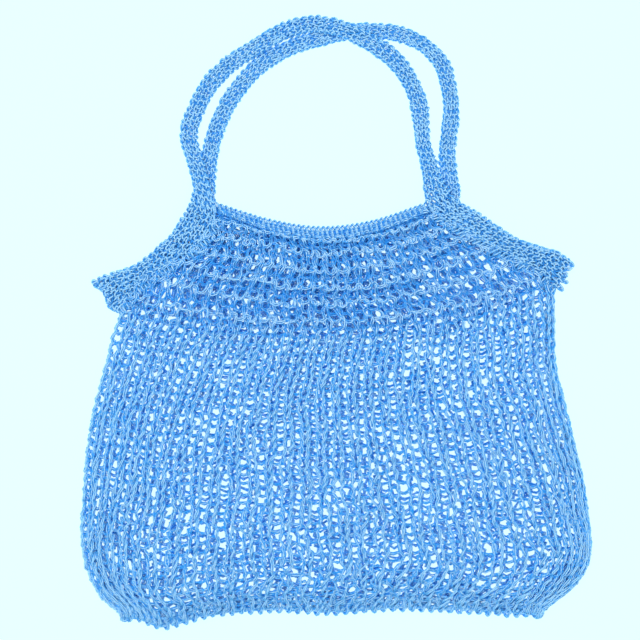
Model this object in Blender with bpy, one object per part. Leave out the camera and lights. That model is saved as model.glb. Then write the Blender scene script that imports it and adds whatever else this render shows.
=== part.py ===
"""A hand-knitted net market bag, lying flat on its back with the handles laid out above it.

The net is one tube, closed along the bottom. Its upper part is two flaps, front and back, in ridged
garter stitch, and a firm ribbed band binds the top edge of each flap. Two firm straps are sewn to the
slanting sides of the flaps. Each one goes on as a handle, and the straps meet at the side tips.
Lengths are in millimetres until a mesh is made. X runs to the right, Y towards the handles, Z up.
"""

import bmesh
import bpy
import numpy as np

for old in list(bpy.data.objects):
    bpy.data.objects.remove(old)

MM = 0.001

# Driving dimensions
FABRIC = 2.2  # thickness of the knitted net
CLEAR = 9.0  # clear height between the front and the back
FOLD_CLEAR = 3.0  # the same at the side folds and the bottom
FOLD_BULGE = 3.0  # how far a fold reaches past the flat of the net
INNER_BULGE = 0.8  # the same on its inner side
FOLD_STEPS = 3  # flats round a fold
LOFT_RUN = 34.0  # distance over which the front rises from a fold to its full height
BODY_ROWS = 11  # sections down the net, below the side tips
WALES = 28  # columns of stitches on each side
WALE_RISE = 1.4  # how far a column stands out
WALE_RUN = 1 / 6  # share of the net's length over which the columns rise below the side tips
RIDGE_RISE = 2.0  # how far a garter ridge stands out
BUMP = 0.8  # half the height of the bumps along the bottom edge
RIM_THICK = 2.6
RIM_RIBS = 43
RIM_RIB_RISE = 0.8
STRAP_THICK = 3.0
STRAP_ROUND = 1.2  # how far the strap's edge is rounded off
STITCH_PITCH = 5.5  # one scallop along a strap's edge
SCALLOP = 0.6  # how far a scallop stands out
SCALLOP_START = 4.0  # how far above the rim the inner edge's scallops start
SCALLOP_RUN = 10.0  # distance over which they grow to their full size
GARTER_RISE = 0.4  # cross ridges of the strap
GAP = 0.4  # between the rim and the net it binds
SEWN_GAP = 0.9  # across the flap, between its side and the slanting strap
SLOPE_STATIONS = 400  # points along a strap where its inner edge is read
SLOPE_PAST = 2.0  # how far above the rim the slope of a strap is still read

# The flap, from its bound edge down to the side tips, as the lines of its garter ridges.
# The sides are given by the straps. Each line holds its name, y at the left end, at the quarter, the
# middle, the three quarters and the right end, and the height of the front's underside at its sides.
FLAP_ROWS = (
    ("bound_edge", 84.0, 70.0, 63.5, 69.5, 85.0, 11.0),
    ("ridge_1", 77.0, 67.0, 61.0, 66.5, 80.5, 10.8),
    ("ridge_2", 66.5, 59.5, 53.0, 58.5, 75.0, 10.2),
    ("ridge_3", 57.0, 45.0, 40.0, 47.5, 66.5, 9.2),
    ("ridge_4", 46.0, 32.0, 27.5, 35.0, 58.5, 7.8),
    ("ridge_5", 34.5, 18.5, 15.0, 23.5, 48.5, 6.6),
    ("ridge_6", 19.5, 4.0, 1.5, 11.0, 36.5, 5.6),
    ("side_tips", 5.5, -8.5, -11.5, -2.5, 22.0, 5.2),
)
RIM_TOP = ("rim_top", 93.0, 80.5, 74.5, 79.5, 93.0, 11.0)
SIDE_TIP_X = {"left": -169.0, "right": 169.5}

# Outline of the net below the side tips.
LEFT_SIDE = (
    (-169.0, 5.5), (-176.5, -14.0), (-180.5, -33.0), (-188.5, -61.0), (-194.0, -89.0),
    (-197.5, -126.5), (-199.6, -165.0), (-196.0, -192.0), (-190.5, -204.5),
)
RIGHT_SIDE = (
    (169.5, 22.0), (170.5, -9.5), (171.0, -33.0), (178.0, -61.0), (184.5, -89.0),
    (191.5, -117.0), (198.0, -160.0), (199.4, -178.0), (194.0, -196.0),
)

# The bottom edge: share of the wales from the left, x and y.
BOTTOM = (
    (0.0, -190.5, -204.5), (0.045, -182.0, -217.0), (0.09, -169.5, -228.0), (0.12, -162.0, -235.0),
    (0.2, -130.5, -240.2), (0.236, -115.0, -235.5), (0.36, -59.5, -228.0), (0.5, 2.0, -229.5),
    (0.585, 41.5, -227.0), (0.74, 111.0, -229.5), (0.835, 155.0, -232.5), (0.865, 163.5, -227.0),
    (0.905, 173.5, -217.0), (0.95, 185.0, -207.5), (1.0, 194.0, -196.0),
)

# The straps: at each section its place, x and y of the outer edge, x and y of the inner edge, and the
# height of the underside.
LEFT_SLOPE = (
    ("tip", -191.5, 33.0, -170.5, 7.0, 3.5),
    ("slope", -179.0, 38.0, -161.0, 20.5, 3.9),
    ("slope", -158.5, 45.0, -147.0, 33.5, 5.0),
    ("slope", -140.0, 59.5, -129.0, 45.0, 7.0),
    ("slope", -128.5, 71.0, -113.5, 56.0, 9.0),
    ("slope", -120.5, 83.5, -102.5, 65.5, 10.2),
    ("slope", -115.0, 93.0, -94.0, 79.0, 10.8),
)
RIGHT_SLOPE = (
    ("slope", 96.5, 93.5, 74.5, 84.0, 10.8),
    ("slope", 109.5, 86.0, 89.5, 75.0, 10.2),
    ("slope", 124.5, 75.5, 108.0, 64.5, 9.0),
    ("slope", 141.5, 65.5, 127.5, 54.0, 7.0),
    ("slope", 158.0, 59.5, 144.0, 45.0, 5.0),
    ("slope", 172.0, 55.5, 160.5, 36.0, 3.9),
    ("tip", 183.5, 49.0, 171.0, 24.0, 3.5),
)
FRONT_HANDLE = (
    ("base", -112.5, 103.0, -97.0, 96.0, 9.5),
    ("left_leg", -115.0, 115.5, -101.0, 114.0, 6.4),
    ("left_leg", -119.0, 129.5, -105.0, 128.5, 3.9),
    ("left_leg", -123.5, 145.0, -109.5, 145.0, 1.6),
    ("left_leg", -121.5, 160.0, -106.5, 158.5, 0.2),
    ("left_leg", -115.0, 174.5, -101.0, 171.0, 0.0),
    ("left_leg", -105.5, 191.0, -92.5, 184.0, 0.4),
    ("left_leg", -90.0, 206.0, -79.0, 197.5, 1.8),
    ("left_leg", -68.0, 220.5, -60.5, 209.0, 3.7),
    ("top", -44.0, 234.0, -38.5, 221.5, 3.8),
    ("top", -20.0, 240.0, -19.0, 226.0, 3.8),
    ("top", 6.0, 235.5, 0.5, 223.0, 3.8),
    ("top", 28.5, 225.5, 19.0, 214.5, 3.8),
    ("right_leg", 48.0, 212.0, 37.0, 202.0, 3.4),
    ("right_leg", 59.0, 198.0, 46.5, 192.0, 1.4),
    ("right_leg", 66.5, 184.0, 53.5, 180.0, 0.2),
    ("right_leg", 71.5, 169.5, 57.5, 167.5, 0.0),
    ("right_leg", 72.0, 154.5, 59.5, 154.5, 0.2),
    ("right_leg", 73.5, 140.5, 61.0, 140.5, 1.0),
    ("right_leg", 77.5, 126.5, 64.5, 125.5, 3.2),
    ("right_leg", 82.5, 112.5, 66.5, 111.0, 6.6),
    ("base", 87.0, 103.0, 68.0, 96.5, 9.5),
)
BACK_HANDLE = (
    ("base", -112.0, 103.0, -95.5, 96.5, 0.0),
    ("left_leg", -109.5, 117.0, -95.0, 116.0, 0.0),
    ("left_leg", -106.5, 132.0, -93.0, 131.0, 0.0),
    ("left_leg", -103.5, 145.0, -90.0, 144.5, 0.0),
    ("left_leg", -98.0, 161.5, -84.0, 159.0, 0.0),
    ("left_leg", -89.5, 178.0, -75.5, 174.5, 0.0),
    ("left_leg", -77.5, 194.0, -66.0, 186.5, 0.0),
    ("left_leg", -60.5, 210.0, -52.5, 199.0, 0.0),
    ("top", -37.0, 221.5, -31.0, 210.5, 0.0),
    ("top", -12.0, 229.5, -8.0, 217.0, 0.0),
    ("top", 11.5, 234.0, 13.0, 221.5, 0.0),
    ("top", 33.0, 234.0, 31.0, 221.5, 0.0),
    ("right_leg", 56.0, 230.0, 49.5, 218.5, 0.0),
    ("right_leg", 75.5, 218.5, 65.0, 211.5, 0.0),
    ("right_leg", 88.0, 204.5, 76.0, 199.5, 0.0),
    ("right_leg", 93.0, 187.0, 80.5, 185.5, 0.0),
    ("right_leg", 95.5, 170.0, 83.0, 170.0, 0.0),
    ("right_leg", 95.0, 154.5, 81.5, 154.5, 0.0),
    ("right_leg", 93.0, 140.5, 80.0, 140.5, 0.0),
    ("right_leg", 93.0, 126.5, 79.0, 126.5, 0.0),
    ("right_leg", 95.0, 111.0, 80.0, 111.0, 0.0),
    ("base", 96.5, 100.5, 77.0, 96.0, 0.0),
)

# Colours of the shiny blue yarn, and its finish
YARN = {
    "net_yarn": (0.085, 0.30, 0.80),
    "rim_yarn": (0.16, 0.42, 0.88),
    "strap_yarn": (0.11, 0.34, 0.82),
}
YARN_ROUGHNESS = 0.45


def spline(knots, values, at):
    """Smooth curve through values at rising knots, read at each of at."""
    knots, values = np.asarray(knots, float), np.asarray(values, float)
    values = values.reshape(len(knots), -1)
    slopes = np.gradient(values, knots, axis=0)
    at = np.clip(np.asarray(at, float), knots[0], knots[-1])
    i = np.clip(np.searchsorted(knots, at, side="right") - 1, 0, len(knots) - 2)
    run = (knots[i + 1] - knots[i])[:, None]
    t = ((at - knots[i]) / run[:, 0])[:, None]
    start = (1 + 2 * t) * (1 - t) ** 2 * values[i] + t * (1 - t) ** 2 * run * slopes[i]
    end = t**2 * (3 - 2 * t) * values[i + 1] + t**2 * (t - 1) * run * slopes[i + 1]
    return start + end


def along(points):
    """Distance along a line of points."""
    steps = np.linalg.norm(np.diff(points, axis=0), axis=1)
    return np.concatenate([[0.0], np.cumsum(steps)])


def smoothstep(t):
    t = np.clip(t, 0.0, 1.0)
    return t * t * (3 - 2 * t)


def strap_edges(rows, stations):
    """Both edges and the height of a strap at evenly spaced stations from tip to tip, and its length."""
    table = np.array([row[1:] for row in rows], float)
    run = along((table[:, 0:2] + table[:, 2:4]) / 2)
    return spline(run, table, np.linspace(0, run[-1], stations + 1)), run[-1]


def flap_sides(rows):
    """The inner edges of a strap's two slopes, as lines of (y, x) with y rising."""
    edges = strap_edges(rows, SLOPE_STATIONS)[0][:, 2:4]
    slopes = edges[edges[:, 1] <= RIM_TOP[1] + SLOPE_PAST]
    left, right = slopes[slopes[:, 0] < 0], slopes[slopes[:, 0] > 0]
    return [side[np.argsort(side[:, 1])][:, ::-1] for side in (left, right)]


def lowered(slope):
    """The slope of the back strap: the same edges, lying on the surface."""
    return tuple((*row[:5], 0.0) for row in slope)


FRONT_STRAP = LEFT_SLOPE + FRONT_HANDLE + RIGHT_SLOPE
BACK_STRAP = lowered(LEFT_SLOPE) + BACK_HANDLE + lowered(RIGHT_SLOPE)
FLAP_SIDES = [flap_sides(strap) for strap in (FRONT_STRAP, BACK_STRAP)]
QUARTERS = (0.0, 0.25, 0.5, 0.75, 1.0)


def flap_ends(left_y, right_y):
    """X of both ends of a flap row, clear of both straps."""
    left = max(np.interp(left_y, side[0][:, 0], side[0][:, 1]) for side in FLAP_SIDES)
    right = min(np.interp(right_y, side[1][:, 0], side[1][:, 1]) for side in FLAP_SIDES)
    return left + SEWN_GAP, right - SEWN_GAP


def flap_row(row, u, at_tips=False):
    """Points (x, y) of one row of the flap at shares u of its width."""
    left, right = flap_ends(row[1], row[5])
    if at_tips:
        left, right = SIDE_TIP_X["left"] + FOLD_BULGE, SIDE_TIP_X["right"] - FOLD_BULGE
    y = spline(QUARTERS, row[1:6], u)[:, 0]
    return np.stack([left + (right - left) * u, y], axis=1)


def flap_point(r, u):
    """Flap points at row number r (0 is the bound edge), with the underside's height at the side."""
    low = min(int(r), len(FLAP_ROWS) - 2)
    part = r - low
    ends = [flap_row(FLAP_ROWS[k], u, k == len(FLAP_ROWS) - 1) for k in (low, low + 1)]
    heights = [FLAP_ROWS[k][6] for k in (low, low + 1)]
    return ends[0] * (1 - part) + ends[1] * part, heights[0] * (1 - part) + heights[1] * part


def outline(points, share):
    """Point on a side outline at a share of its length."""
    points = np.array(points, float)
    run = along(points)
    return spline(run / run[-1], points, [share])[0]


def net_row(v, u):
    """Points (x, y) of the net at share v of the way from the side tips to the bottom."""
    top = flap_row(FLAP_ROWS[-1], u, True)
    bottom = spline([p[0] for p in BOTTOM], [p[1:] for p in BOTTOM], u)
    bottom[:, 1] += FOLD_BULGE
    inward = np.array([FOLD_BULGE, 0.0])
    left, right = outline(LEFT_SIDE, v) + inward, outline(RIGHT_SIDE, v) - inward
    bottom[0], bottom[-1] = outline(LEFT_SIDE, 1.0) + inward, outline(RIGHT_SIDE, 1.0) - inward
    u = u[:, None]
    sides = (1 - u) * left + u * right
    ends = (1 - v) * top + v * bottom
    corners = (1 - v) * ((1 - u) * top[0] + u * top[-1]) + v * ((1 - u) * bottom[0] + u * bottom[-1])
    return sides + ends - corners


def layer(columns, flap_steps, height_of, rise_of):
    """Grid of points of one face of the net: rows from the bound edge to the bottom."""
    u = np.linspace(0, 1, columns + 1)
    rows = []
    for r in np.linspace(0, len(FLAP_ROWS) - 1, flap_steps + 1):
        points, side = flap_point(r, u)
        rows.append((points, side, 0.0, r))
    for v in np.linspace(0, 1, BODY_ROWS + 1)[1:]:
        rows.append((net_row(v, u), FABRIC + FOLD_CLEAR, v, len(FLAP_ROWS)))
    grid = []
    for points, side, v, r in rows:
        z = height_of(points, side, v) + rise_of(u, v, r)
        grid.append(np.column_stack([points, z]))
    return np.array(grid)


def front_height(points, side, v):
    """Height of the underside of the front, low at the sides and the bottom."""
    from_side = np.minimum(points[:, 0] - points[0, 0], points[-1, 0] - points[:, 0])
    from_bottom = (1 - v) * along(np.array(LEFT_SIDE))[-1]
    ramp = smoothstep(from_side / LOFT_RUN) * smoothstep(from_bottom / LOFT_RUN)
    return side + (FABRIC + CLEAR - side) * ramp


def no_rise(u, v, r):
    return np.zeros(len(u))


def front_rise(u, v, r):
    """Fabric thickness, with ridges across the flap and columns down the net."""
    on_ridge = 0 < r < len(FLAP_ROWS) - 1 and abs(r - round(r)) < 0.01
    columns = np.where(np.arange(len(u)) % 2 == 1, WALE_RISE, 0.0)
    grown = smoothstep(v / WALE_RUN) * (v < 1)
    return FABRIC + (RIDGE_RISE if on_ridge else 0.0) + columns * grown


class Shell:
    """Vertices and faces of one closed solid."""

    def __init__(self):
        self.points, self.faces = [], []

    def add(self, points):
        start = sum(len(block) for block in self.points)
        points = np.asarray(points, float)
        self.points.append(points.reshape(-1, 3))
        return np.arange(start, start + self.points[-1].shape[0]).reshape(points.shape[:-1])

    def sheet(self, grid, flip=False):
        """Faces over a grid of vertex numbers."""
        for a, b in zip(grid[:-1], grid[1:]):
            for i in range(len(a) - 1):
                quad = (a[i], b[i], b[i + 1], a[i + 1])
                self.faces.append(quad[::-1] if flip else quad)

    def join(self, one, other):
        """Triangles between two open lines of vertices that run side by side."""
        i = j = 0
        while i < len(one) - 1 or j < len(other) - 1:
            on = (i + 1) / max(len(one) - 1, 1) <= (j + 1) / max(len(other) - 1, 1)
            if j == len(other) - 1 or (on and i < len(one) - 1):
                self.faces.append((one[i], one[i + 1], other[j]))
                i += 1
            else:
                self.faces.append((one[i], other[j + 1], other[j]))
                j += 1

    def make(self, name, material):
        """The solid as an object, its faces turned outwards."""
        mesh = bpy.data.meshes.new(name)
        points = np.concatenate(self.points) * MM
        faces = [[int(k) for k in face] for face in self.faces]
        mesh.from_pydata(points.tolist(), [], faces)
        work = bmesh.new()
        work.from_mesh(mesh)
        bmesh.ops.triangulate(work, faces=work.faces[:])
        bmesh.ops.recalc_face_normals(work, faces=work.faces[:])
        work.to_mesh(mesh)
        work.free()
        mesh.materials.append(material)
        made = bpy.data.objects.new(name, mesh)
        bpy.context.scene.collection.objects.link(made)
        return made


def yarn_material(name):
    material = bpy.data.materials.new(name)
    material.use_nodes = True
    shader = material.node_tree.nodes["Principled BSDF"]
    shader.inputs["Base Color"].default_value = (*YARN[name], 1.0)
    shader.inputs["Roughness"].default_value = YARN_ROUGHNESS
    shader.inputs["Metallic"].default_value = 0.0
    return material


def fold(start, end, outward, bulge):
    """Points round a fold from one layer's edge to the other's, without the two edges."""
    turns = np.linspace(0, np.pi, FOLD_STEPS + 1)[1:-1]
    middle, half = (start + end) / 2, (start - end) / 2
    return [middle + half * np.cos(t) + outward * bulge * np.sin(t) for t in turns]


def add_side_fold(shell, grids, numbers, column, way, bulge):
    """The fold down one side, from the side tip to the bottom, as rows of vertex numbers."""
    rows = []
    for k in range(BODY_ROWS, -1, -1):
        at = {side: (len(grids[side]) - 1 - k, column) for side in ("front", "back")}
        start, end = (grids[side][at[side]] for side in at)
        middle = shell.add(fold(start, end, np.array([way, 0.0, 0.0]), bulge))
        rows.append(np.array([numbers["front"][at["front"]], *middle, numbers["back"][at["back"]]]))
    shell.sheet(np.array(rows), flip=column == -1)
    return rows


def add_bottom_fold(shell, grids, numbers, corners, bulge):
    """The fold along the bottom, between the lowest points of the two side folds."""
    front, back = grids["front"][-1], grids["back"][-1]
    shares, back_shares = np.linspace(0, 1, len(front)), np.linspace(0, 1, len(back))
    opposite = np.stack([np.interp(shares, back_shares, back[:, k]) for k in range(3)], axis=1)
    down = np.array([0.0, -1.0, 0.0])
    middle = shell.add([fold(a, b, down, bulge) for a, b in zip(front[1:-1], opposite[1:-1])])
    middle = np.concatenate([[corners[0]], middle, [corners[1]]])
    shell.sheet(np.array([numbers["front"][-1], middle[:, 0], middle[:, 1]]))
    shell.join(middle[:, 1], numbers["back"][-1])


def make_bag_body(material):
    """The net: front and back with their flaps, joined by the side folds and the bottom fold."""
    shell = Shell()
    flap_steps = len(FLAP_ROWS) - 1
    outer = {
        "front": layer(2 * WALES, 2 * flap_steps, front_height, front_rise),
        "back": layer(WALES, flap_steps, lambda p, side, v: np.zeros(len(p)), no_rise),
    }
    inner = {
        "front": layer(WALES, flap_steps, front_height, no_rise),
        "back": layer(WALES, flap_steps, lambda p, side, v: np.full(len(p), FABRIC), no_rise),
    }
    bumps = np.where(np.arange(2 * WALES + 1) % 2 == 1, -BUMP, BUMP)
    outer["front"][-1, 1:-1, 1] += bumps[1:-1]
    outside = {side: shell.add(grid) for side, grid in outer.items()}
    inside = {side: shell.add(grid) for side, grid in inner.items()}
    shell.sheet(outside["front"])
    shell.sheet(outside["back"], flip=True)
    shell.sheet(inside["front"], flip=True)
    shell.sheet(inside["back"])
    # The mouth, and the flaps' sides down to the side tips, are closed between outside and inside.
    for side in ("front", "back"):
        shell.join(outside[side][0], inside[side][0])
        outer_tip = len(outside[side]) - 1 - BODY_ROWS
        inner_tip = len(inside[side]) - 1 - BODY_ROWS
        for column in (0, -1):
            shell.join(outside[side][: outer_tip + 1, column], inside[side][: inner_tip + 1, column])
    corners = {"outer": [], "inner": []}
    for column, way in ((0, -1.0), (-1, 1.0)):
        outer_rows = add_side_fold(shell, outer, outside, column, way, FOLD_BULGE)
        inner_rows = add_side_fold(shell, inner, inside, column, way, INNER_BULGE)
        shell.join(outer_rows[0], inner_rows[0])
        corners["outer"].append(outer_rows[-1][1:-1])
        corners["inner"].append(inner_rows[-1][1:-1])
    add_bottom_fold(shell, outer, outside, corners["outer"], FOLD_BULGE)
    add_bottom_fold(shell, inner, inside, corners["inner"], INNER_BULGE)
    return shell.make("bag_body", material)


def make_rim(name, material, lifted):
    """One bound edge: a ribbed band along the top of a flap."""
    u = np.linspace(0, 1, 2 * RIM_RIBS + 1)
    low = flap_row(FLAP_ROWS[0], u)
    high = flap_row(RIM_TOP, u)
    low[:, 1] += GAP
    base = front_height(low, RIM_TOP[6], 0.0) if lifted else np.zeros(len(u))
    rib = np.where(np.arange(len(u)) % 2 == 1, RIM_RIB_RISE, 0.0)
    sections = np.stack(
        [
            np.column_stack([low, base]),
            np.column_stack([high, base]),
            np.column_stack([high, base + RIM_THICK - RIM_RIB_RISE + rib]),
            np.column_stack([low, base + RIM_THICK + rib]),
        ],
        axis=1,
    )
    return make_bar(name, material, sections)


def make_bar(name, material, sections):
    """A closed solid through rings of points, with flat ends."""
    shell = Shell()
    rings = shell.add(sections)
    closed = np.concatenate([rings, rings[:, :1]], axis=1)
    shell.sheet(closed)
    shell.faces.append(tuple(rings[0]))
    shell.faces.append(tuple(rings[-1][::-1]))
    return shell.make(name, material)


def make_strap(name, material, rows):
    """A strap from tip to tip: two edges and a height at each section, scalloped along both edges."""
    stations = int(round(strap_edges(rows, 2)[1] / STITCH_PITCH)) * 2
    edges = strap_edges(rows, stations)[0]
    outer, inner, height = edges[:, 0:2], edges[:, 2:4], np.maximum(edges[:, 4], 0.0)
    across = outer - inner
    across /= np.linalg.norm(across, axis=1)[:, None]
    crest = (np.arange(stations + 1) % 2 == 1).astype(float)
    free = smoothstep(np.minimum(np.arange(stations + 1), np.arange(stations, -1, -1)) / 2)
    outer = outer + across * (SCALLOP * (crest * 2 - 1) * free)[:, None]
    on_handle = smoothstep((edges[:, 3] - RIM_TOP[1] - SCALLOP_START) / SCALLOP_RUN)
    inner = inner - across * (SCALLOP * crest * on_handle)[:, None]
    top = height + STRAP_THICK - GARTER_RISE * (1 - crest)
    shelf = across * STRAP_ROUND
    sections = np.stack(
        [
            np.column_stack([inner + shelf, height]),
            np.column_stack([inner, (height + top) / 2]),
            np.column_stack([inner + shelf, top]),
            np.column_stack([outer - shelf, top]),
            np.column_stack([outer, (height + top) / 2]),
            np.column_stack([outer - shelf, height]),
        ],
        axis=1,
    )
    return make_bar(name, material, sections)


net_yarn, rim_yarn, strap_yarn = (yarn_material(name) for name in YARN)
make_bag_body(net_yarn)
make_rim("rim_front", rim_yarn, lifted=True)
make_rim("rim_back", rim_yarn, lifted=False)
make_strap("handle_front", strap_yarn, FRONT_STRAP)
make_strap("handle_back", strap_yarn, BACK_STRAP)
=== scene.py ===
"""Looks of the hand-knitted net market bag: each row of stitches as real yarn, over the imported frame.

Lengths are in millimetres until a mesh is made. X runs to the right, Y towards the handles, Z up.
"""

import math

import bpy
import numpy as np
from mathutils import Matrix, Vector


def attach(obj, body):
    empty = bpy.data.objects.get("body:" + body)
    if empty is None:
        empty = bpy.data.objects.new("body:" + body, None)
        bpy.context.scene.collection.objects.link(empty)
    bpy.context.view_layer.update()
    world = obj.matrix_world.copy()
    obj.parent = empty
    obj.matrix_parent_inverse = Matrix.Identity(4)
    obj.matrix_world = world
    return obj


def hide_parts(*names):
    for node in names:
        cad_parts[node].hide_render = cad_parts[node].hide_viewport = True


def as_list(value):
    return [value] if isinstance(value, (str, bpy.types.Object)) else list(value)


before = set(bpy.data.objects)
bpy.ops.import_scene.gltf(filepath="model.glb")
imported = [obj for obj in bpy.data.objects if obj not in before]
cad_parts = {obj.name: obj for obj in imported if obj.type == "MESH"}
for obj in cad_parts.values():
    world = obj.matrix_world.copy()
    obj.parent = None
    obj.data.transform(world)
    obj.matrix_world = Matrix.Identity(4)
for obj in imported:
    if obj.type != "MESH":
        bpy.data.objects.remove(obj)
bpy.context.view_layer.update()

# ------------------------------------------------------------------------------------------------
# The net: the tube of the bag, knitted by hand in stocking stitch on thick needles, from soft blue
# cotton yarn of three loose strands. It lies flat, so it has a front and a back, which run into each
# other round the side folds and are joined along the bottom by a seam in the same yarn.

MM = 0.001
WALES = 30  # columns of stitches on each side
NET_ROWS = 31  # rows of stitches from the bottom edge up to the side tips
ROW_GROWTH = 0.046  # how much the weight of the net lengthens its lower rows
FABRIC = 2.2  # thickness of the flat cloth that the frame gives
CLEAR = 9.0  # clear height between front and back in the middle
FOLD_CLEAR = 3.0  # the same at the side folds and the bottom
FOLD_BULGE = 3.0  # how far the outline reaches past the flat of the net
FOLD_TURN = 2.0  # radius of the yarn's own path round a side fold
LOFT_RUN = 34.0  # distance over which the front rises to its full height
FOLD_SHARE = 0.5  # wales that lie in each side fold
FOLD_POINTS = 4  # points of the cloth round a side fold
CLOTH_WALES = 0.5  # wales between two points of the cloth
CLOTH_ROWS = 0.25  # rows between them
YARN = 0.62  # radius of one strand of the yarn
NET_DEPTH = 1.25  # how far the yarn goes over and under the middle of the fabric

# Lines across the flap: left x, y at the left side, at each quarter of the way and at the right side,
# right x, height of the underside at the sides, and width of a wale. The last is the top of the net.
FLAP_LINES = (
    ("bound_edge", -92.9, 86.0, 72.0, 65.7, 71.7, 87.0, 72.8, 11.0, 7.5),
    ("ridge_1", -93.7, 79.5, 69.5, 63.5, 69.0, 83.0, 75.9, 10.8, 7.6),
    ("ridge_2", -100.8, 67.5, 60.7, 54.3, 59.7, 76.0, 88.6, 10.2, 8.0),
    ("ridge_3", -111.3, 57.0, 45.5, 40.5, 48.0, 66.5, 103.5, 9.2, 8.6),
    ("ridge_4", -126.6, 46.0, 32.0, 27.5, 35.0, 58.5, 118.2, 7.8, 9.5),
    ("ridge_5", -144.8, 34.5, 18.5, 15.0, 23.5, 48.5, 136.7, 6.6, 10.2),
    ("ridge_6", -160.9, 19.5, 4.0, 1.5, 11.0, 36.5, 159.0, 5.6, 10.8),
    ("side_tips", -166.0, 5.5, -8.5, -11.5, -2.5, 22.0, 166.5, 5.2, 11.083),
)
# Down the outline of the net from each side tip to the end of the seam: x and y.
LEFT_SIDE = (
    (-169.0, 5.5), (-176.5, -14.0), (-180.5, -33.0), (-188.5, -61.0), (-194.0, -89.0),
    (-197.5, -126.5), (-199.6, -165.0), (-196.0, -192.0), (-190.5, -204.5), (-182.0, -216.5),
    (-171.5, -225.5), (-167.0, -234.0),
)
RIGHT_SIDE = (
    (169.5, 22.0), (170.5, -9.5), (171.0, -33.0), (178.0, -61.0), (184.5, -89.0),
    (191.5, -117.0), (198.0, -160.0), (199.4, -178.0), (194.0, -196.0), (185.0, -207.5),
    (173.5, -217.0), (163.5, -225.0), (159.0, -232.0),
)
# Along the bottom edge: share of the wales, x and y.
BOTTOM = (
    (0.0, -167.0, -234.0), (0.08, -154.5, -235.5), (0.19, -130.5, -240.2), (0.23, -115.0, -235.5),
    (0.37, -59.5, -228.0), (0.525, 2.0, -229.5), (0.625, 41.5, -227.0), (0.8, 111.0, -229.5),
    (0.885, 145.0, -231.5), (1.0, 159.0, -232.0),
)
QUARTERS = (0.0, 0.25, 0.5, 0.75, 1.0)


def spline(knots, values, at):
    """Smooth curve through values at rising knots, read at each of at."""
    knots, values = np.asarray(knots, float), np.asarray(values, float)
    values = values.reshape(len(knots), -1)
    slopes = np.gradient(values, knots, axis=0)
    at = np.clip(np.asarray(at, float), knots[0], knots[-1])
    i = np.clip(np.searchsorted(knots, at, side="right") - 1, 0, len(knots) - 2)
    run = (knots[i + 1] - knots[i])[:, None]
    t = ((at - knots[i]) / run[:, 0])[:, None]
    start = (1 + 2 * t) * (1 - t) ** 2 * values[i] + t * (1 - t) ** 2 * run * slopes[i]
    end = t**2 * (3 - 2 * t) * values[i + 1] + t**2 * (t - 1) * run * slopes[i + 1]
    return start + end


def along(points):
    """Distance along a line of points."""
    steps = np.linalg.norm(np.diff(points, axis=0), axis=1)
    return np.concatenate([[0.0], np.cumsum(steps)])


def smoothstep(t):
    """From 0 to 1 with a soft start and end."""
    t = np.clip(t, 0.0, 1.0)
    return t * t * (3 - 2 * t)


def flap_line(line):
    """Numbers of the flap at a place between its lines, from 0 at the bound edge to 7 at the side tips."""
    table = np.array([numbers for name, *numbers in FLAP_LINES])
    return [np.interp(line, np.arange(len(table)), column) for column in table.T]


def flap_row(line, w):
    """Points (x, y) of the flap at wale places w, with the height of the underside at its sides."""
    left_x, left_y, quarter_y, middle_y, three_y, right_y, right_x, height, pitch = flap_line(line)
    x = (left_x + right_x) / 2 + (w - WALES / 2) * pitch
    heights = (left_y, quarter_y, middle_y, three_y, right_y)
    y = spline(QUARTERS, heights, (x - left_x) / (right_x - left_x))
    from_side = np.minimum(x - left_x, right_x - x)
    return np.column_stack([x, y[:, 0]]), from_side, height


def outline(points, share):
    """Point on a side outline at a share of its length."""
    points = np.array(points, float)
    run = along(points)
    return spline(run / run[-1], points, [share])[0]


def net_row(v, u):
    """Points (x, y) of the net at share v of the way from the side tips to the bottom."""
    top = flap_row(len(FLAP_LINES) - 1, u * WALES)[0]
    bottom = spline([p[0] for p in BOTTOM], [p[1:] for p in BOTTOM], u)
    bottom[:, 1] += FOLD_BULGE
    inward = np.array([FOLD_BULGE, 0.0])
    left, right = outline(LEFT_SIDE, v) + inward, outline(RIGHT_SIDE, v) - inward
    bottom[0], bottom[-1] = outline(LEFT_SIDE, 1.0) + inward, outline(RIGHT_SIDE, 1.0) - inward
    u = u[:, None]
    sides = (1 - u) * left + u * right
    ends = (1 - v) * top + v * bottom
    corners = (1 - v) * ((1 - u) * top[0] + u * top[-1]) + v * ((1 - u) * bottom[0] + u * bottom[-1])
    return sides + ends - corners


def cloth(grid, w, q, side):
    """Reads a grid of points, rows q by wales w, as a surface: a function that gives its points and
    outward directions at any places."""
    normal = np.cross(np.gradient(grid, w, axis=1), np.gradient(grid, q, axis=0)) * side
    normal /= np.linalg.norm(normal, axis=2)[..., None]
    both = np.concatenate([grid, normal], axis=2)

    def read(at_w, at_q):
        i = np.clip(np.searchsorted(w, at_w) - 1, 0, len(w) - 2)
        j = np.clip(np.searchsorted(q, at_q) - 1, 0, len(q) - 2)
        s = ((at_w - w[i]) / (w[i + 1] - w[i]))[:, None]
        t = ((at_q - q[j]) / (q[j + 1] - q[j]))[:, None]
        low = both[j, i] * (1 - s) + both[j, i + 1] * s
        high = both[j + 1, i] * (1 - s) + both[j + 1, i + 1] * s
        found = low * (1 - t) + high * t
        return found[:, :3], found[:, 3:]

    return read


def flat_height(from_side, from_bottom, side, lifted):
    """Height of the middle of the fabric over the surface that the bag lies on."""
    if not lifted:
        return np.full(len(from_side), NET_DEPTH + YARN)
    ramp = smoothstep(from_side / LOFT_RUN) * smoothstep(from_bottom / LOFT_RUN)
    return side + (FABRIC + CLEAR - side) * ramp + FABRIC / 2


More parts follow.
